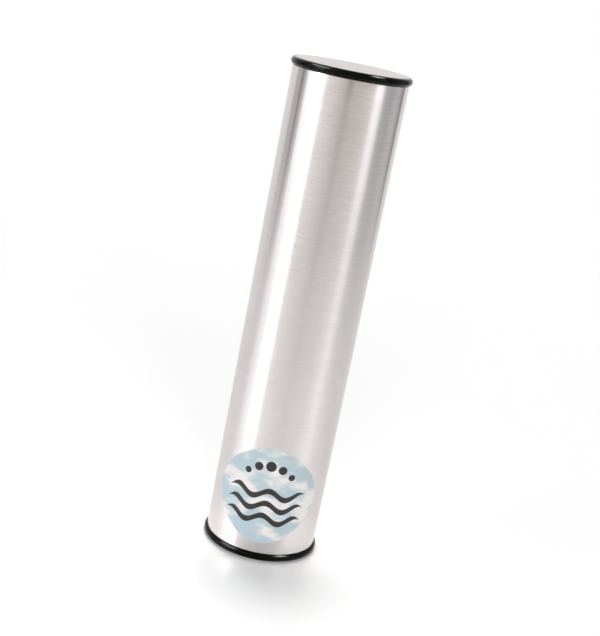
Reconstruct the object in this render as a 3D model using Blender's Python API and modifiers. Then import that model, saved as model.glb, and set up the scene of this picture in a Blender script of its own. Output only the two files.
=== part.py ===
"""Hand shaker: a metal tube closed at both ends by a moulded ring and a metal disc, with steel shot inside.

The tube's axis is +Z. The shaker stands on the bottom disc's outer face, whose centre is the origin, and the
sticker faces -Y. All lengths are in metres.
"""
import math

import bmesh
import bpy

MM = 0.001

# Tube: plain drawn aluminium, cut square.
TUBE_DIAMETER = 50.8 * MM
TUBE_WALL = 1.6 * MM
TUBE_LENGTH = 215.2 * MM
TUBE_EDGE_BREAK = 0.25 * MM

# Rim ring: its beaded flange caps the tube's end, its skirt plugs the bore and its recess holds the end disc.
RING_OVERHANG = 1.1 * MM
RING_FLANGE_HEIGHT = 3.3 * MM
RING_OUTER_ROUND = 1.5 * MM
RING_TUBE_ROUND = 1.5 * MM
RING_LIP_FLAT = 0.1 * MM
SKIRT_LENGTH = 9.0 * MM
SKIRT_WALL = 1.9 * MM
SKIRT_TIP_BREAK = 0.6 * MM

# End disc: it stands a little proud of the ring, so the shaker rests on metal.
DISC_THICKNESS = 1.2 * MM
DISC_PROUD = 0.2 * MM
DISC_EDGE_ROUND = 0.3 * MM

# Sticker: wrapped on the tube near its bottom end, its width measured round the tube. It is cut so that it
# looks round from the front.
LABEL_WIDTH = 49.4 * MM
LABEL_HEIGHT = 45.4 * MM
LABEL_THICKNESS = 0.12 * MM
LABEL_CENTRE_HEIGHT = 31.5 * MM

# Steel shot: one layer of pellets on the bottom disc, in rings round a middle one, each under its own free
# lane to the top disc.
SHOT_DIAMETER = 5.0 * MM
SHOT_LANE_RINGS = 3
SHOT_WALL_GAP = 0.4 * MM
SHOT_END_GAP = 0.3 * MM

# Clearances between pieces that are pressed, seated or stuck together.
SKIRT_CLEARANCE = 0.1 * MM
RECESS_CLEARANCE = 0.1 * MM
SEAT_GAP = 0.1 * MM
LABEL_GAP = 0.05 * MM

# Facets round a turned piece, round a rounded corner, across the sticker and on a pellet.
TURNED_FACETS = 72
ROUND_FACETS = 6
LABEL_COLUMNS = 36
SHOT_SEGMENTS = 12
SHOT_RINGS = 8
MERGE_DISTANCE = 0.00001
SHARP_ANGLE = math.radians(35)

# Radii and heights that follow from the sizes above.
TUBE_RADIUS = TUBE_DIAMETER / 2
BORE_RADIUS = TUBE_RADIUS - TUBE_WALL
RING_RADIUS = TUBE_RADIUS + RING_OVERHANG
RECESS_RADIUS = RING_RADIUS - RING_OUTER_ROUND - RING_LIP_FLAT
DISC_RADIUS = RECESS_RADIUS - RECESS_CLEARANCE
SKIRT_RADIUS = BORE_RADIUS - SKIRT_CLEARANCE
SKIRT_BORE_RADIUS = SKIRT_RADIUS - SKIRT_WALL
RECESS_FLOOR = RING_FLANGE_HEIGHT + DISC_PROUD - DISC_THICKNESS - SEAT_GAP
BOTTOM_SEAT_HEIGHT = DISC_PROUD + RING_FLANGE_HEIGHT
TUBE_BOTTOM_HEIGHT = BOTTOM_SEAT_HEIGHT + SEAT_GAP
TOP_SEAT_HEIGHT = TUBE_BOTTOM_HEIGHT + TUBE_LENGTH + SEAT_GAP
OVERALL_HEIGHT = TOP_SEAT_HEIGHT + RING_FLANGE_HEIGHT + DISC_PROUD
SHOT_RADIUS = SHOT_DIAMETER / 2
SHOT_REACH = SKIRT_BORE_RADIUS - SHOT_RADIUS - SHOT_WALL_GAP
SHOT_REST_HEIGHT = DISC_THICKNESS + SHOT_END_GAP + SHOT_RADIUS
UPSIDE_DOWN = (math.pi, 0, 0)


def clear_scene():
    """Removes every object that the open file starts with."""
    for thing in list(bpy.data.objects):
        bpy.data.objects.remove(thing, do_unlink=True)


def material(name, colour, roughness, metallic):
    """Gives a Principled material of one colour."""
    made = bpy.data.materials.new(name)
    made.use_nodes = True
    made.diffuse_color = (*colour, 1)
    shader = made.node_tree.nodes["Principled BSDF"]
    shader.inputs["Base Color"].default_value = (*colour, 1)
    shader.inputs["Roughness"].default_value = roughness
    shader.inputs["Metallic"].default_value = metallic
    return made


def arc(centre_r, centre_z, radius, start_degrees, end_degrees):
    """Gives the (radius, height) points of a rounded corner, both ends included."""
    points = []
    for step in range(ROUND_FACETS + 1):
        angle = math.radians(start_degrees + (end_degrees - start_degrees) * step / ROUND_FACETS)
        points.append((centre_r + radius * math.cos(angle), centre_z + radius * math.sin(angle)))
    return points


def smooth_mesh(mesh, finish):
    """Shades a mesh smooth up to its sharp edges and gives it its material."""
    mesh.materials.append(finish)
    mesh.shade_smooth()
    mesh.set_sharp_from_angle(angle=SHARP_ANGLE)
    return mesh


def turned_mesh(name, profile, closed, finish):
    """Turns a (radius, height) profile round Z; it runs down its outer side, from top to bottom."""
    outline = bpy.data.meshes.new(name + "_profile")
    edges = [(i, i + 1) for i in range(len(profile) - 1)]
    if closed:
        edges.append((len(profile) - 1, 0))
    outline.from_pydata([(r, 0, z) for r, z in profile], edges, [])
    blank = bpy.data.objects.new(name + "_blank", outline)
    bpy.context.scene.collection.objects.link(blank)
    screw = blank.modifiers.new("Turn", "SCREW")
    screw.axis = "Z"
    screw.steps = TURNED_FACETS
    screw.render_steps = TURNED_FACETS
    screw.use_merge_vertices = True
    screw.merge_threshold = MERGE_DISTANCE
    turned = blank.evaluated_get(bpy.context.evaluated_depsgraph_get())
    mesh = bpy.data.meshes.new_from_object(turned)
    mesh.name = name
    bpy.data.objects.remove(blank, do_unlink=True)
    bpy.data.meshes.remove(outline)
    return smooth_mesh(mesh, finish)


def place(name, mesh, collection, root, location, rotation=(0, 0, 0)):
    """Adds one named piece under the shaker's empty."""
    piece = bpy.data.objects.new(name, mesh)
    piece.location = location
    piece.rotation_euler = rotation
    piece.parent = root
    collection.objects.link(piece)
    return piece


def tube_mesh(finish):
    """The tube from its bottom end up, with the cut edges broken inside and out."""
    brk = TUBE_EDGE_BREAK
    profile = [
        (TUBE_RADIUS - brk, TUBE_LENGTH),
        (TUBE_RADIUS, TUBE_LENGTH - brk),
        (TUBE_RADIUS, brk),
        (TUBE_RADIUS - brk, 0),
        (BORE_RADIUS + brk, 0),
        (BORE_RADIUS, brk),
        (BORE_RADIUS, TUBE_LENGTH - brk),
        (BORE_RADIUS + brk, TUBE_LENGTH),
    ]
    return turned_mesh("tube_body", profile, True, finish)


def ring_mesh(finish):
    """The rim ring seen as the top one: flange upwards from its seat, skirt downwards."""
    crown = RING_RADIUS - RING_OUTER_ROUND
    heel = RING_RADIUS - RING_TUBE_ROUND
    profile = [(RECESS_RADIUS, RING_FLANGE_HEIGHT)]
    profile += arc(crown, RING_FLANGE_HEIGHT - RING_OUTER_ROUND, RING_OUTER_ROUND, 90, 0)
    profile += arc(heel, RING_TUBE_ROUND, RING_TUBE_ROUND, 0, -90)
    profile += [
        (SKIRT_RADIUS, 0),
        (SKIRT_RADIUS, SKIRT_TIP_BREAK - SKIRT_LENGTH),
        (SKIRT_RADIUS - SKIRT_TIP_BREAK, -SKIRT_LENGTH),
        (SKIRT_BORE_RADIUS, -SKIRT_LENGTH),
        (SKIRT_BORE_RADIUS, RECESS_FLOOR),
        (RECESS_RADIUS, RECESS_FLOOR),
    ]
    return turned_mesh("rim_ring", profile, True, finish)


def disc_mesh(finish):
    """The end disc, inner face at height 0, with its outer edge rounded over."""
    shoulder = DISC_RADIUS - DISC_EDGE_ROUND
    profile = [(0, DISC_THICKNESS)]
    profile += arc(shoulder, DISC_THICKNESS - DISC_EDGE_ROUND, DISC_EDGE_ROUND, 90, 0)
    profile += [(DISC_RADIUS, 0), (0, 0)]
    return turned_mesh("end_disc", profile, False, finish)


def label_mesh(finish):
    """A sticker wrapped on the tube: a grid whose columns are chords of an oval seen from the front."""
    wrap_radius = TUBE_RADIUS + LABEL_GAP
    side_turn = LABEL_WIDTH / 2 / wrap_radius
    model = bmesh.new()
    bmesh.ops.create_grid(model, x_segments=LABEL_COLUMNS, y_segments=1, size=1)
    for vertex in model.verts:
        across = math.radians(90 * vertex.co.x)
        turn = math.asin(math.sin(side_turn) * math.sin(across))
        height = math.copysign(LABEL_HEIGHT / 2 * math.cos(across), vertex.co.y)
        vertex.co = (wrap_radius * math.sin(turn), -wrap_radius * math.cos(turn), height)
    bmesh.ops.remove_doubles(model, verts=model.verts, dist=MERGE_DISTANCE)
    sheet = bpy.data.meshes.new("label")
    model.to_mesh(sheet)
    model.free()
    return smooth_mesh(sheet, finish)


def shot_mesh(finish):
    """One steel pellet, centred on its own origin."""
    model = bmesh.new()
    bmesh.ops.create_uvsphere(model, u_segments=SHOT_SEGMENTS, v_segments=SHOT_RINGS, radius=SHOT_RADIUS)
    pellet = bpy.data.meshes.new("shot_pellet")
    model.to_mesh(pellet)
    model.free()
    return smooth_mesh(pellet, finish)


def shot_lanes():
    """The (x, y) places of the pellets: six-sided rings round the axis, as wide as the skirts leave free."""
    pitch = SHOT_REACH / SHOT_LANE_RINGS
    counts = range(-SHOT_LANE_RINGS, SHOT_LANE_RINGS + 1)
    lanes = []
    for row in counts:
        for column in counts:
            if abs(row + column) <= SHOT_LANE_RINGS:
                lanes.append(((column + row / 2) * pitch, row * pitch * math.sqrt(3) / 2))
    return lanes


def build():
    """Builds the whole shaker in a collection of its own."""
    clear_scene()
    shaker = bpy.data.collections.new("hand_shaker")
    bpy.context.scene.collection.children.link(shaker)
    root = bpy.data.objects.new("hand_shaker_origin", None)
    shaker.objects.link(root)

    brushed_aluminium = material("brushed_aluminium", (0.76, 0.75, 0.74), 0.28, 1.0)
    disc_aluminium = material("disc_aluminium", (0.80, 0.78, 0.77), 0.32, 1.0)
    black_plastic = material("black_plastic", (0.008, 0.008, 0.009), 0.18, 0.0)
    sticker_vinyl = material("sticker_vinyl", (0.62, 0.70, 0.76), 0.35, 0.0)
    bright_steel = material("bright_steel", (0.62, 0.62, 0.63), 0.2, 1.0)

    place("tube_body", tube_mesh(brushed_aluminium), shaker, root, (0, 0, TUBE_BOTTOM_HEIGHT))

    ring = ring_mesh(black_plastic)
    place("top_rim_ring", ring, shaker, root, (0, 0, TOP_SEAT_HEIGHT))
    place("bottom_rim_ring", ring, shaker, root, (0, 0, BOTTOM_SEAT_HEIGHT), UPSIDE_DOWN)

    disc = disc_mesh(disc_aluminium)
    place("top_end_disc", disc, shaker, root, (0, 0, OVERALL_HEIGHT - DISC_THICKNESS))
    place("bottom_end_disc", disc, shaker, root, (0, 0, DISC_THICKNESS), UPSIDE_DOWN)

    label = place("label", label_mesh(sticker_vinyl), shaker, root, (0, 0, LABEL_CENTRE_HEIGHT))
    thickness = label.modifiers.new("Thickness", "SOLIDIFY")
    thickness.thickness = LABEL_THICKNESS
    thickness.offset = 1

    pellet = shot_mesh(bright_steel)
    for number, (x, y) in enumerate(shot_lanes(), start=1):
        place(f"shot_pellet_{number:02d}", pellet, shaker, root, (x, y, SHOT_REST_HEIGHT))


build()
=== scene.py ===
"""Looks of a hand shaker: brushed tube, glossy rim rings, turned end discs, a printed sticker and steel shot.

The tube's axis is +Z, the sticker faces -Y and all lengths are in metres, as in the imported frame.
"""
import math

import bmesh
import bpy
import numpy as np
from mathutils import Matrix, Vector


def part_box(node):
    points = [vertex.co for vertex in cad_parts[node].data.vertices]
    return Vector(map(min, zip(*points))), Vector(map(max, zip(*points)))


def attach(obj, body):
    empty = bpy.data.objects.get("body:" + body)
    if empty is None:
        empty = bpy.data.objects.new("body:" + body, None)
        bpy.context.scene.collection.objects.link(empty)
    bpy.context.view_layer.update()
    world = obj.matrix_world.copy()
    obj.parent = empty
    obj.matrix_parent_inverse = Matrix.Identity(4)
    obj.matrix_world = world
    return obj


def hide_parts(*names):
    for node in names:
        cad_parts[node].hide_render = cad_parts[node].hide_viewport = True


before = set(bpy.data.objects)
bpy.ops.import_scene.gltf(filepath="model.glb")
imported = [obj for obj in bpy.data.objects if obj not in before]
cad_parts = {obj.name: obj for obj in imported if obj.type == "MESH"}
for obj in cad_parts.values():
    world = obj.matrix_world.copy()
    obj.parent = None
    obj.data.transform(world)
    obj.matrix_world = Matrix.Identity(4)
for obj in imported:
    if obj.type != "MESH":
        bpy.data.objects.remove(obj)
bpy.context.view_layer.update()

MM = 0.001
DEGREES = 180 / math.pi
WHITE = (1, 1, 1, 1)
SHELL = "shell"

# Camera: its place before it is turned round the tube, and the photograph's lens.
CAMERA_DISTANCE = 550.8 * MM
CAMERA_HEIGHT = 259.6 * MM
CAMERA_ROUND = math.radians(1.6)
CAMERA_YAW = -0.0022
CAMERA_PITCH = 0.2674
CAMERA_ROLL = 0.1961
CAMERA_LENS = 71.84
CAMERA_SENSOR = 36.0

# Sizes of the pieces, read from the frame where a node's box shows them.
TUBE_LOW, TUBE_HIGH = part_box("tube_body")
TUBE_RADIUS = TUBE_HIGH.x
TUBE_WALL = 1.6 * MM
TUBE_EDGE_ROUND = 0.25 * MM
RING_LOW, RING_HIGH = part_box("top_rim_ring")
RING_RADIUS = RING_HIGH.x
RING_SEAT_GAP = 0.1 * MM
RING_SEAT = TUBE_HIGH.z + RING_SEAT_GAP
RING_FLANGE = RING_HIGH.z - RING_SEAT
RING_OUTER_ROUND = 1.5 * MM
RING_TUBE_ROUND = 1.5 * MM
SKIRT_LENGTH = RING_SEAT - RING_LOW.z
SKIRT_CLEARANCE = 0.1 * MM
SKIRT_RADIUS = TUBE_RADIUS - TUBE_WALL - SKIRT_CLEARANCE
SKIRT_WALL = 1.9 * MM
SKIRT_TIP_ROUND = 0.6 * MM
DISC_LOW, DISC_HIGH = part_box("top_end_disc")
DISC_RADIUS = DISC_HIGH.x
DISC_THICKNESS = DISC_HIGH.z - DISC_LOW.z
DISC_EDGE_ROUND = 0.1 * MM
DISC_BEVEL = 0.7 * MM
DISC_BEVEL_FALL = 0.2 * MM
DISC_BEVEL_EASE = 1.5
DISC_EDGE_START = 75
RECESS_CLEARANCE = 0.1 * MM
RECESS_RADIUS = DISC_RADIUS + RECESS_CLEARANCE
RECESS_FLOOR = DISC_LOW.z - RING_SEAT_GAP - RING_SEAT
OVERALL_HEIGHT = DISC_HIGH.z
LABEL_LOW, LABEL_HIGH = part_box("label")
LABEL_RADIUS = (LABEL_HIGH.z - LABEL_LOW.z) / 2
LABEL_CENTRE = (LABEL_HIGH.z + LABEL_LOW.z) / 2
LABEL_GAP = 0.05 * MM
LABEL_THICKNESS = 0.12 * MM
LABEL_EDGE_ROUND = 0.05 * MM
LABEL_SIDE_SINE = LABEL_HIGH.x / (TUBE_RADIUS + LABEL_GAP + LABEL_THICKNESS)
SHOT_DENT = 0.012
SHOT_TURN_WAVES = 3
SHOT_TILT_WAVES = 4

# Fineness of the surfaces.
TURNED_COLUMNS = 256
ROUND_STEPS = 8
TUBE_ROWS = 24
DISC_ROWS = 16
LABEL_COLUMNS = 192
LABEL_ROWS = 20
SHOT_COLUMNS = 24
SHOT_ROWS = 14
TABLE_COLUMNS = 96
MERGE_DISTANCE = 1e-6
SHARP_ANGLE = math.radians(40)


class Wire:
    """One socket of a node tree: arithmetic on it adds Math nodes, and node() adds any other node."""

    def __init__(self, tree, socket=None):
        self.tree = tree
        self.socket = socket

    def node(self, kind, settings, inputs, output=0):
        """Adds a node: first its settings, then its inputs by name or number, as values or wires."""
        made = self.tree.nodes.new(kind)
        for name, value in settings.items():
            setattr(made, name, value)
        for key, value in inputs.items():
            if isinstance(value, Wire):
                self.tree.links.new(value.socket, made.inputs[key])
            else:
                made.inputs[key].default_value = value
        return Wire(self.tree, made.outputs[output] if made.outputs else None)

    def side(self, output):
        """Gives another output of the same node."""
        return Wire(self.tree, self.socket.node.outputs[output])

    def math(self, operation, first, second=0.0):
        """Adds a Math node for one or two values."""
        return self.node("ShaderNodeMath", {"operation": operation}, {0: first, 1: second})

    def __add__(self, other):
        return self.math("ADD", self, other)

    __radd__ = __add__

    def __sub__(self, other):
        return self.math("SUBTRACT", self, other)

    def __rsub__(self, other):
        return self.math("SUBTRACT", other, self)

    def __mul__(self, other):
        return self.math("MULTIPLY", self, other)

    __rmul__ = __mul__

    def __abs__(self):
        return self.math("ABSOLUTE", self)


def smooth_step(value, low, high):
    """0 below low, 1 above high and a smooth rise between them; low may be the larger one."""
    edges = {"Value": value, "From Min": low, "From Max": high}
    return value.node("ShaderNodeMapRange", {"interpolation_type": "SMOOTHSTEP"}, edges)


def mix_colours(share, first, second):
    """Blends two colours by a share from 0 to 1."""
    return share.node("ShaderNodeMix", {"data_type": "RGBA"}, {0: share, 6: first, 7: second}, 2)


def stretched(place, factors):
    """Multiplies a place by three factors, so that a pattern is drawn out along an axis."""
    return place.node("ShaderNodeVectorMath", {"operation": "MULTIPLY"}, {0: place, 1: factors})


def noise(place, scale, detail):
    """Soft noise from 0 to 1; scale is its number of patches to the metre."""
    return place.node("ShaderNodeTexNoise", {}, {"Vector": place, "Scale": scale, "Detail": detail})


def bumped(height, distance):
    """A normal tilted by the slope of a height from 0 to 1, where 1 is as high as distance."""
    return height.node("ShaderNodeBump", {}, {"Height": height, "Distance": distance, "Strength": 1.0})


def new_material(name):
    """A material with an empty node tree, and a wire to grow its nodes from."""
    material = bpy.data.materials.new(name)
    material.use_nodes = True
    material.node_tree.nodes.clear()
    return material, Wire(material.node_tree)


def principled(start, inputs):
    """Ends a material in a Principled shader with these inputs."""
    shader = start.node("ShaderNodeBsdfPrincipled", {}, inputs)
    start.node("ShaderNodeOutputMaterial", {}, {"Surface": shader})


# Brushed tube: patches to the metre in its hair lines, its broader streaks and its clouds, its two tones and
# the range between them, the tint of what it mirrors at a grazing angle, and the depth of the grain.
HAIR_SCALES = (190, 190, 3400)
STREAK_SCALES = (40, 40, 1300)
TUBE_CLOUDS = 28.0
TUBE_TONES = ((0.612, 0.582, 0.577, 1), (0.670, 0.638, 0.633, 1))
TUBE_TONE_RANGE = (0.35, 0.65)
TUBE_EDGE_TINT = (0.92, 0.90, 0.895, 1)
BRUSH_DEPTH = 0.009 * MM
ROUND_THE_AXIS = 0.25


def brushed_aluminium():
    """Tube: aluminium brushed round the tube, so that its highlights are drawn out along the axis."""
    material, start = new_material("brushed_aluminium")
    place = start.node("ShaderNodeTexCoord", {}, {}, "Object")
    hairs = noise(stretched(place, HAIR_SCALES), 1.0, 3.0)
    streaks = noise(stretched(place, STREAK_SCALES), 1.0, 2.0)
    clouds = noise(place, TUBE_CLOUDS, 3.0)
    grain = hairs * 0.6 + streaks * 0.4
    tone = smooth_step(clouds * 0.3 + grain * 0.7, *TUBE_TONE_RANGE)
    principled(start, {
        "Base Color": mix_colours(tone, *TUBE_TONES),
        "Metallic": 1.0,
        "Specular Tint": TUBE_EDGE_TINT,
        "Roughness": 0.21 + 0.06 * grain,
        "Anisotropic": 0.85,
        "Anisotropic Rotation": ROUND_THE_AXIS,
        "Normal": bumped(grain, BRUSH_DEPTH),
    })
    return material


# Turned discs: lathe cuts to the metre of radius, patches to the metre in the clouds, two tones, the tint of
# what they mirror at a grazing angle, and the depth of the cuts.
DISC_CUTS = 3800.0
DISC_CLOUDS = 60.0
DISC_TONES = ((0.68, 0.66, 0.65, 1), (0.74, 0.72, 0.71, 1))
DISC_EDGE_TINT = (0.78, 0.75, 0.745, 1)
CUT_DEPTH = 0.001 * MM


def turned_aluminium():
    """End discs: aluminium faced on a lathe, with fine rings round the middle."""
    material, start = new_material("turned_aluminium")
    place = start.node("ShaderNodeTexCoord", {}, {}, "Object")
    flat = stretched(place, (1, 1, 0))
    reach = start.node("ShaderNodeVectorMath", {"operation": "LENGTH"}, {0: flat}, "Value")
    path = start.node("ShaderNodeCombineXYZ", {}, {"X": reach * DISC_CUTS})
    cuts = noise(path, 1.0, 3.0)
    clouds = noise(place, DISC_CLOUDS, 3.0)
    tone = cuts * 0.6 + clouds * 0.4
    principled(start, {
        "Base Color": mix_colours(tone, *DISC_TONES),
        "Metallic": 1.0,
        "Specular Tint": DISC_EDGE_TINT,
        "Roughness": 0.13 + 0.10 * tone,
        "Anisotropic": 0.4,
        "Anisotropic Rotation": ROUND_THE_AXIS,
        "Normal": bumped(cuts, CUT_DEPTH),
    })
    return material


# Rim rings: patches to the metre in the scuffs and in the soft marks, two tones and the range between them,
# the strength of the gloss and the depth of the ripple.
SCUFF_SCALES = (300, 300, 2500)
RING_PATCHES = 180.0
RING_TONES = ((0.001, 0.001, 0.001, 1), (0.003, 0.003, 0.003, 1))
RING_WORN_RANGE = (0.45, 0.7)
RING_GLOSS = 0.10
RING_RIPPLE = 0.004 * MM


def black_plastic():
    """Rim rings: glossy black moulding with faint handling marks."""
    material, start = new_material("black_plastic")
    place = start.node("ShaderNodeTexCoord", {}, {}, "Object")
    scuffs = noise(stretched(place, SCUFF_SCALES), 1.0, 4.0)
    patches = noise(place, RING_PATCHES, 3.0)
    worn = smooth_step(scuffs * 0.6 + patches * 0.4, *RING_WORN_RANGE)
    principled(start, {
        "Base Color": mix_colours(worn, *RING_TONES),
        "Roughness": 0.11 + 0.05 * worn,
        "Specular IOR Level": RING_GLOSS,
        "Normal": bumped(patches, RING_RIPPLE),
    })
    return material


# Print on the sticker, in millimetres from its middle: the clouds of its sky and their two tones, the waves'
# middle heights, length, swing, half width and the reach over which they taper to points, and the dots' arc,
# their turns from its top in degrees, the middle dot's radius and the radius lost to each degree of turn.
SKY_STRETCH = (0.9, 1.6, 1)
SKY_PATCHES = 0.075
SKY_RANGE = (0.42, 0.60)
SKY_TONES = ((0.47, 0.58, 0.635, 1), (0.83, 0.80, 0.79, 1))
INK = (0.032, 0.030, 0.030, 1)
WAVE_HEIGHTS = (-11.0, -5.0, 1.0)
WAVE_LENGTH = 15.0
WAVE_SWING = 1.7
WAVE_HALF_WIDTH = 1.45
WAVE_TAPER = (19.5, 12.0)
WAVE_EDGE_SOFT = 0.2
DOT_ARC_RADIUS = 14.5
DOT_TURNS = (-44, -22, 0, 22, 44)
DOT_RADIUS = 2.4
DOT_RADIUS_LOSS = 0.02
DOT_EDGE_SOFT = 0.1
PEEL_PATCHES = 1.2
PEEL_DEPTH = 0.006 * MM


def printed_vinyl():
    """Sticker: a pale sky ground with charcoal waves under an arc of dots."""
    material, start = new_material("printed_vinyl")
    place = start.node("ShaderNodeUVMap", {"uv_map": "print"}, {})
    across = start.node("ShaderNodeSeparateXYZ", {}, {0: place}, "X")
    up = across.side("Y")
    clouds = noise(stretched(place, SKY_STRETCH), SKY_PATCHES, 3.0)
    ground = mix_colours(smooth_step(clouds, *SKY_RANGE), *SKY_TONES)
    width = WAVE_HALF_WIDTH * smooth_step(abs(across), *WAVE_TAPER)
    ink = 0.0
    for level in WAVE_HEIGHTS:
        swing = start.math("SINE", across * (2 * math.pi / WAVE_LENGTH) + level) * WAVE_SWING
        offset = abs(up - swing - level)
        ink = start.math("MAXIMUM", ink, smooth_step(offset - width, 0.0, -WAVE_EDGE_SOFT))
    for turn in DOT_TURNS:
        dot_across = DOT_ARC_RADIUS * math.sin(math.radians(turn))
        dot_up = DOT_ARC_RADIUS * math.cos(math.radians(turn))
        radius = DOT_RADIUS - abs(turn) * DOT_RADIUS_LOSS
        gap = start.math("POWER", across - dot_across, 2.0) + start.math("POWER", up - dot_up, 2.0)
        dot = smooth_step(start.math("SQRT", gap), radius + DOT_EDGE_SOFT, radius - DOT_EDGE_SOFT)
        ink = start.math("MAXIMUM", ink, dot)
    peel = noise(place, PEEL_PATCHES, 2.0)
    principled(start, {
        "Base Color": mix_colours(ink, ground, INK),
        "Roughness": 0.46 + 0.08 * peel - 0.06 * ink,
        "Specular IOR Level": 0.25,
        "Normal": bumped(peel, PEEL_DEPTH),
    })
    return material


# Steel shot: rubbed patches to the metre, two tones and the depth of the dulled patches.
SHOT_PATCHES = 700.0
SHOT_TONES = ((0.50, 0.50, 0.51, 1), (0.68, 0.68, 0.68, 1))
SHOT_RUB_DEPTH = 0.02 * MM


def steel_shot():
    """Pellets: bright steel, a little dulled in patches by rubbing."""
    material, start = new_material("steel_shot")
    place = start.node("ShaderNodeTexCoord", {}, {}, "Object")
    rub = noise(place, SHOT_PATCHES, 4.0)
    principled(start, {
        "Base Color": mix_colours(rub, *SHOT_TONES),
        "Metallic": 1.0,
        "Roughness": 0.16 + 0.22 * rub,
        "Normal": bumped(rub, SHOT_RUB_DEPTH),
    })
    return material


def turned_grid(profile, columns):
    """Carries a (radius, height) profile round Z: x is radius times cosine, y is radius times sine."""
    radius, height = np.asarray(profile, float).T[:, :, None]
    angle = np.linspace(0, 2 * math.pi, columns, endpoint=False)
    return np.stack(np.broadcast_arrays(radius * np.cos(angle), radius * np.sin(angle), height), axis=-1)


def arc(centre, radius, start_degrees, end_degrees):
    """Points of a rounded corner: the centre plus the radius at evenly stepped angles, both ends included."""
    angle = np.radians(np.linspace(start_degrees, end_degrees, ROUND_STEPS + 1))
    return np.asarray(centre) + radius * np.stack((np.cos(angle), np.sin(angle)), axis=-1)


def grid_mesh(name, points, rows_close):
    """Joins a grid of points by quads; its columns close on themselves, and its rows too where asked."""
    rows, columns = points.shape[:2]
    row = np.arange(rows if rows_close else rows - 1)[:, None]
    column = np.arange(columns)[None, :]
    below = (row + 1) % rows * columns
    beside = (column + 1) % columns
    corners = (row * columns + column, below + column, below + beside, row * columns + beside)
    quads = np.stack(np.broadcast_arrays(*corners), axis=-1).reshape(-1, 4)
    mesh = bpy.data.meshes.new(name)
    mesh.from_pydata(points.reshape(-1, 3).tolist(), [], quads.tolist())
    model = bmesh.new()
    model.from_mesh(mesh)
    bmesh.ops.remove_doubles(model, verts=model.verts, dist=MERGE_DISTANCE)
    model.to_mesh(mesh)
    model.free()
    return mesh


def add_piece(name, mesh, material, body, node):
    """Adds a finished piece that rides on a body and stands for a CAD node."""
    mesh.materials.append(material)
    mesh.shade_smooth()
    mesh.set_sharp_from_angle(angle=SHARP_ANGLE)
    piece = bpy.data.objects.new(name, mesh)
    bpy.context.scene.collection.objects.link(piece)
    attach(piece, body)
    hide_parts(node)


def tube_profile():
    """The tube's wall: two straight sides joined by rounded edges at both ends."""
    bore = TUBE_RADIUS - TUBE_WALL
    edge = TUBE_EDGE_ROUND
    low = TUBE_LOW.z + edge
    high = TUBE_HIGH.z - edge
    fall = np.linspace(high, low, TUBE_ROWS + 1)[1:-1]
    outside = np.stack((np.full_like(fall, TUBE_RADIUS), fall), axis=-1)
    inside = np.stack((np.full_like(fall, bore), fall[::-1]), axis=-1)
    return np.concatenate((
        arc((TUBE_RADIUS - edge, high), edge, 90, 0),
        outside,
        arc((TUBE_RADIUS - edge, low), edge, 0, -90),
        arc((bore + edge, low), edge, -90, -180),
        inside,
        arc((bore + edge, high), edge, 180, 90),
    ))


def ring_profile():
    """The rim ring from its seat at height 0: flange with rounded corners above, skirt below."""
    bore = SKIRT_RADIUS - SKIRT_WALL
    return np.concatenate((
        [(RECESS_RADIUS, RING_FLANGE)],
        arc((RING_RADIUS - RING_OUTER_ROUND, RING_FLANGE - RING_OUTER_ROUND), RING_OUTER_ROUND, 90, 0),
        arc((RING_RADIUS - RING_TUBE_ROUND, RING_TUBE_ROUND), RING_TUBE_ROUND, 0, -90),
        [(SKIRT_RADIUS, 0)],
        arc((SKIRT_RADIUS - SKIRT_TIP_ROUND, SKIRT_TIP_ROUND - SKIRT_LENGTH), SKIRT_TIP_ROUND, 0, -90),
        [(bore, -SKIRT_LENGTH), (bore, RECESS_FLOOR), (RECESS_RADIUS, RECESS_FLOOR)],
    ))


def disc_profile():
    """The end disc from its inner face at height 0: a flat face, a shallow bevel and a rounded edge.

    The bevel falls by its share of the way to the edge, raised to a power, so that it eases in.
    """
    reach = np.linspace(0, DISC_RADIUS - DISC_BEVEL, DISC_ROWS + 1)
    face = np.stack((reach, np.full(DISC_ROWS + 1, DISC_THICKNESS)), axis=-1)
    share = np.linspace(0, 1, ROUND_STEPS + 1)[1:-1]
    edge = DISC_EDGE_ROUND
    bevel = np.stack((reach[-1] + share * (DISC_BEVEL - edge),
                      DISC_THICKNESS - DISC_BEVEL_FALL * share ** DISC_BEVEL_EASE), axis=-1)
    return np.concatenate((
        face,
        bevel,
        arc((DISC_RADIUS - edge, DISC_THICKNESS - DISC_BEVEL_FALL - edge), edge, DISC_EDGE_START, 0),
        [(DISC_RADIUS, 0), (0, 0)],
    ))


def standing(grid, height, upside_down):
    """Lifts a turned grid to a height; upside down it is first turned half round X."""
    turn = np.array((1, -1, -1) if upside_down else (1, 1, 1))
    return grid * turn + np.array((0, 0, height))


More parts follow.
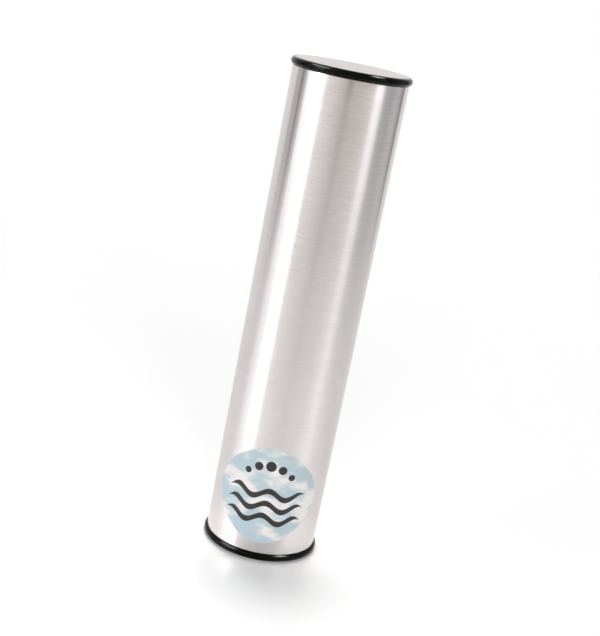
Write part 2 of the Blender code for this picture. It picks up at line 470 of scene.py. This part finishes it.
def label_mesh():
    """The sticker: a thin sheet bent round the tube, cut so that it looks round from the front.

    A point (across, up, out) of a flat disc goes to the angle from -Y whose sine is across over the disc's
    radius, times the sine at the sticker's sides, and to the wall radius plus out. The map called print holds
    the arc and the height from the sticker's middle, in millimetres.
    """
    wall = TUBE_RADIUS + LABEL_GAP
    edge = LABEL_EDGE_ROUND
    reach = np.linspace(0, LABEL_RADIUS - edge, LABEL_ROWS + 1)
    front = np.stack((reach[:-1], np.full(LABEL_ROWS, LABEL_THICKNESS)), axis=-1)
    back = np.stack((reach[::-1], np.zeros(LABEL_ROWS + 1)), axis=-1)
    rim = arc((LABEL_RADIUS - edge, LABEL_THICKNESS - edge), edge, 90, 0)
    sheet = turned_grid(np.concatenate((front, rim, [(LABEL_RADIUS, 0)], back)), LABEL_COLUMNS)
    across, up, out = np.moveaxis(sheet, -1, 0)
    angle = np.arcsin(across / LABEL_RADIUS * LABEL_SIDE_SINE)
    bent = np.stack(((wall + out) * np.sin(angle), -(wall + out) * np.cos(angle), up + LABEL_CENTRE), axis=-1)
    mesh = grid_mesh("label", bent, False)
    corner = np.empty(len(mesh.loops), int)
    mesh.loops.foreach_get("vertex_index", corner)
    place = np.empty(len(mesh.vertices) * 3)
    mesh.vertices.foreach_get("co", place)
    x, y, z = place.reshape(-1, 3)[corner].T
    print_map = np.stack((wall * np.arctan2(x, -y), z - LABEL_CENTRE), axis=-1) / MM
    mesh.uv_layers.new(name="print").data.foreach_set("uv", print_map.ravel())
    return mesh


def shot_mesh(name, node, number):
    """A steel pellet: a ball whose radius dips by low waves round it and down it, moved on by its number."""
    low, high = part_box(node)
    centre = np.array((low + high) / 2)
    radius = (high.z - low.z) / 2
    tilt = np.linspace(0, math.pi, SHOT_ROWS + 1)[:, None]
    turn = np.linspace(0, 2 * math.pi, SHOT_COLUMNS, endpoint=False)[None, :]
    round_it = np.sin(SHOT_TURN_WAVES * turn + number) * np.sin(tilt) ** SHOT_TURN_WAVES
    down_it = np.cos(SHOT_TILT_WAVES * tilt + 2 * number)
    reach = radius * (1 - SHOT_DENT * (round_it + down_it + 2))
    ball = np.stack((reach * np.sin(tilt) * np.cos(turn), reach * np.sin(tilt) * np.sin(turn),
                     reach * np.cos(tilt)), axis=-1)
    return grid_mesh(name, ball + centre, False)


def build_shaker():
    """Every piece of the shaker, each in the place of its CAD node."""
    tube_finish = brushed_aluminium()
    ring_finish = black_plastic()
    disc_finish = turned_aluminium()
    tube = grid_mesh("tube", turned_grid(tube_profile(), TURNED_COLUMNS), True)
    add_piece("brushed_tube", tube, tube_finish, SHELL, "tube_body")
    ring = turned_grid(ring_profile(), TURNED_COLUMNS)
    disc = turned_grid(disc_profile(), TURNED_COLUMNS)
    ends = {"top": (RING_SEAT, DISC_LOW.z, False),
            "bottom": (OVERALL_HEIGHT - RING_SEAT, OVERALL_HEIGHT - DISC_LOW.z, True)}
    for end, (seat, disc_height, upside_down) in ends.items():
        moulding = grid_mesh(end + "_ring", standing(ring, seat, upside_down), True)
        add_piece(end + "_ring", moulding, ring_finish, SHELL, end + "_rim_ring")
        plate = grid_mesh(end + "_disc", standing(disc, disc_height, upside_down), False)
        add_piece(end + "_disc", plate, disc_finish, SHELL, end + "_end_disc")
    add_piece("sticker", label_mesh(), printed_vinyl(), SHELL, "label")
    shot_finish = steel_shot()
    pellets = sorted(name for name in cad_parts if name.startswith("shot_pellet"))
    for number, node in enumerate(pellets, start=1):
        name = f"steel_shot_{number:02d}"
        add_piece(name, shot_mesh(name, node, number), shot_finish, node, node)


# Studio: what stands round the tube. Each panel has its two edges and their softness in degrees round the
# tube, counted from -Y towards +X, then its lower and upper edge in degrees above the floor, and its colour.
# A later panel covers an earlier one.
CEILING = (0.35, 0.35, 0.35, 1)
EDGE_SOFT = 4
STUDIO_PANELS = (
    (-181, 181, 1, 1, -70, 62, (0.71, 0.684, 0.658, 1)),
    (-124, -86, 2, 3, -70, 62, (1.18, 1.18, 1.19, 1)),
    (-124, -86, 2, 3, -70, 12, (0.56, 0.56, 0.57, 1)),
    (-104, -98, 2, 2, -20, 40, (0.14, 0.09, 0.09, 1)),
    (-46, -14, 3, 16, -70, 62, (1.0, 0.965, 0.955, 1)),
    (-86, -48.5, 1.5, 1.5, -14, 55, (6.0, 6.0, 5.95, 1)),
    (-88, -69, 1.5, 2, -18, 55, (1.6, 1.6, 1.6, 1)),
    (-1, 10, 3, 3, -2, 15, (0.26, 0.23, 0.23, 1)),
    (74, 140, 3, 3, -70, 62, (0.51, 0.51, 0.525, 1)),
    (104, 122, 4, 4, -70, 62, (0.65, 0.65, 0.66, 1)),
    (129, 137, 2, 2, -20, 40, (0.28, 0.25, 0.25, 1)),
    (52, 77, 3, 4, -14, 45, (0.90, 0.90, 0.90, 1)),
    (58, 71, 3, 3, -14, 45, (0.95, 0.95, 0.95, 1)),
    (57, 73, 3, 3, -4, 7, (2.2, 2.2, 2.23, 1)),
)
BACKDROP_EDGES = (-124, 140)
ROOM_LIGHT = 0.15


def studio():
    """The world: white to the camera, and to everything else a grey room with pale panels round the tube."""
    world = bpy.data.worlds.new("studio")
    bpy.context.scene.world = world
    world.use_nodes = True
    world.node_tree.nodes.clear()
    start = Wire(world.node_tree)
    towards = start.node("ShaderNodeTexCoord", {}, {}, "Generated")
    axes = start.node("ShaderNodeSeparateXYZ", {}, {0: towards}, "X")
    turn = start.math("ARCTAN2", axes, 0 - axes.side("Y")) * DEGREES
    rise = start.math("ARCSINE", axes.side("Z")) * DEGREES
    colour = CEILING
    for first, last, first_soft, last_soft, low, high, tint in STUDIO_PANELS:
        begun = smooth_step(turn, first - first_soft, first + first_soft)
        left = smooth_step(turn, last + last_soft, last - last_soft)
        above = smooth_step(rise, low - EDGE_SOFT, low + EDGE_SOFT)
        below = smooth_step(rise, high + EDGE_SOFT, high - EDGE_SOFT)
        colour = mix_colours(begun * left * above * below, colour, tint)
    rays = start.node("ShaderNodeLightPath", {}, {}, "Is Camera Ray")
    strength = ROOM_LIGHT + (1 - ROOM_LIGHT) * rays.side("Is Glossy Ray")
    room = start.node("ShaderNodeBackground", {}, {"Color": colour, "Strength": strength})
    backdrop = start.node("ShaderNodeBackground", {}, {"Color": WHITE})
    first, last = BACKDROP_EDGES
    behind = smooth_step(turn, first + EDGE_SOFT, first) + smooth_step(turn, last - EDGE_SOFT, last)
    shown = rays + rays.side("Is Transmission Ray") + rays.side("Is Glossy Ray") * behind
    mixed = start.node("ShaderNodeMixShader", {}, {0: shown, 1: room, 2: backdrop})
    start.node("ShaderNodeOutputWorld", {}, {"Surface": mixed})


# Floor: its size and the reach at which it starts to fade, its colour and gloss, its glow, the added glow
# towards -Y with the two places along Y between which that comes in, and the share of painted shade by
# which its far part in front and to the right is darker in mirrors, with the degrees round the tube where
# that comes in and goes.
FLOOR_RADIUS = 0.9
FLOOR_FADE_START = 0.3
FLOOR_COLOUR = (0.95, 0.95, 0.95, 1)
FLOOR_ROUGHNESS = 0.3
FLOOR_IOR = 1.45
FLOOR_LIFT = 0.08
FLOOR_FRONT_LIFT = 0.06
FLOOR_FRONT = (0.05, -0.10)
FLOOR_SHADE = 0.32
FLOOR_SHADE_LEFT = (-65, -40)
FLOOR_SHADE_RIGHT = (130, 105)


def floor():
    """A round pale table top at height 0 with a soft gloss, which fades to the white backdrop at its edge.

    Its glow and that fade are only seen, and light nothing.
    """
    material, start = new_material("table_white")
    matt = start.node("ShaderNodeBsdfDiffuse", {}, {"Color": FLOOR_COLOUR})
    gloss = start.node("ShaderNodeBsdfGlossy", {}, {"Color": WHITE, "Roughness": FLOOR_ROUGHNESS})
    edge = start.node("ShaderNodeFresnel", {}, {"IOR": FLOOR_IOR})
    top = start.node("ShaderNodeMixShader", {}, {0: edge, 1: matt, 2: gloss})
    rays = start.node("ShaderNodeLightPath", {}, {}, "Is Camera Ray")
    seen = rays + rays.side("Is Glossy Ray") + rays.side("Is Transmission Ray")
    place = start.node("ShaderNodeTexCoord", {}, {}, "Object")
    axes = start.node("ShaderNodeSeparateXYZ", {}, {0: place}, "X")
    along = axes.side("Y")
    lift = FLOOR_LIFT + FLOOR_FRONT_LIFT * smooth_step(along, *FLOOR_FRONT)
    glow = start.node("ShaderNodeEmission", {}, {"Strength": seen * lift})
    lifted = start.node("ShaderNodeAddShader", {}, {0: top, 1: glow})
    reach = start.node("ShaderNodeVectorMath", {"operation": "LENGTH"}, {0: place}, "Value")
    far = smooth_step(reach, FLOOR_FADE_START, FLOOR_RADIUS)
    turn = start.math("ARCTAN2", axes, 0 - along) * DEGREES
    # Painted shade: the far floor in front and to the right is darker to glossy rays only, so mirrors show it
    # dimmer.
    painted_shade_sector = smooth_step(turn, *FLOOR_SHADE_LEFT) * smooth_step(turn, *FLOOR_SHADE_RIGHT)
    shade = FLOOR_SHADE * painted_shade_sector * rays.side("Is Glossy Ray")
    white = start.node("ShaderNodeEmission", {}, {"Strength": 1 - shade})
    shown = start.node("ShaderNodeMixShader", {}, {0: far * seen, 1: lifted, 2: white})
    start.node("ShaderNodeOutputMaterial", {}, {"Surface": shown})
    mesh = grid_mesh("table", turned_grid([(0, 0), (FLOOR_RADIUS, 0)], TABLE_COLUMNS), False)
    mesh.materials.append(material)
    table = bpy.data.objects.new("table", mesh)
    bpy.context.scene.collection.objects.link(table)


# Lamps: degrees round the tube and above the floor, width and height in metres, and brightness. The key and
# fill lamps light what is matt, and the glint lamps are only mirrored.
LAMP_DISTANCE = 4.0
LAMP_TARGET = 0.12
LAMPS = {
    "key_lamp": (-166, 79, 1.0, 1.0, 34.0),
    "fill_lamp": (5, 28, 2.4, 1.6, 5.5),
    "left_glint_lamp": (-72, 47, 2.4, 0.7, 50.0),
    "right_glint_lamp": (80, 58, 1.1, 1.0, 90.0),
}


def lamps():
    """Soft boxes above the tube, each turned to face it; brightness is what a mirror would show."""
    for name, (turn, rise, width, height, brightness) in LAMPS.items():
        lamp = bpy.data.lights.new(name, "AREA")
        lamp.shape = "RECTANGLE"
        lamp.size = width
        lamp.size_y = height
        lamp.energy = brightness * math.pi * width * height
        box = bpy.data.objects.new(name, lamp)
        box.visible_glossy = "glint" in name
        box.visible_diffuse = not box.visible_glossy
        aim = Matrix.Rotation(math.radians(turn), 4, "Z") @ Matrix.Rotation(math.radians(90 - rise), 4, "X")
        away = Matrix.Translation((0, 0, LAMP_DISTANCE))
        box.matrix_world = Matrix.Translation((0, 0, LAMP_TARGET)) @ aim @ away
        bpy.context.scene.collection.objects.link(box)


def camera():
    """The photograph's camera: a little above the tube's top, looking down at it and rolled to the side."""
    lens = bpy.data.cameras.new("camera")
    lens.lens = CAMERA_LENS
    lens.sensor_width = CAMERA_SENSOR
    eye = bpy.data.objects.new("camera", lens)
    bpy.context.scene.collection.objects.link(eye)
    stand = Matrix.Rotation(CAMERA_ROUND, 4, "Z") @ Matrix.Translation((0, -CAMERA_DISTANCE, CAMERA_HEIGHT))
    aim = Matrix.Rotation(-CAMERA_YAW, 4, "Z") @ Matrix.Rotation(math.pi / 2 - CAMERA_PITCH, 4, "X")
    eye.matrix_world = stand @ aim @ Matrix.Rotation(CAMERA_ROLL, 4, "Z")
    bpy.context.scene.camera = eye


camera()
build_shaker()
studio()
floor()
lamps()
bpy.context.scene.view_settings.view_transform = "Standard"
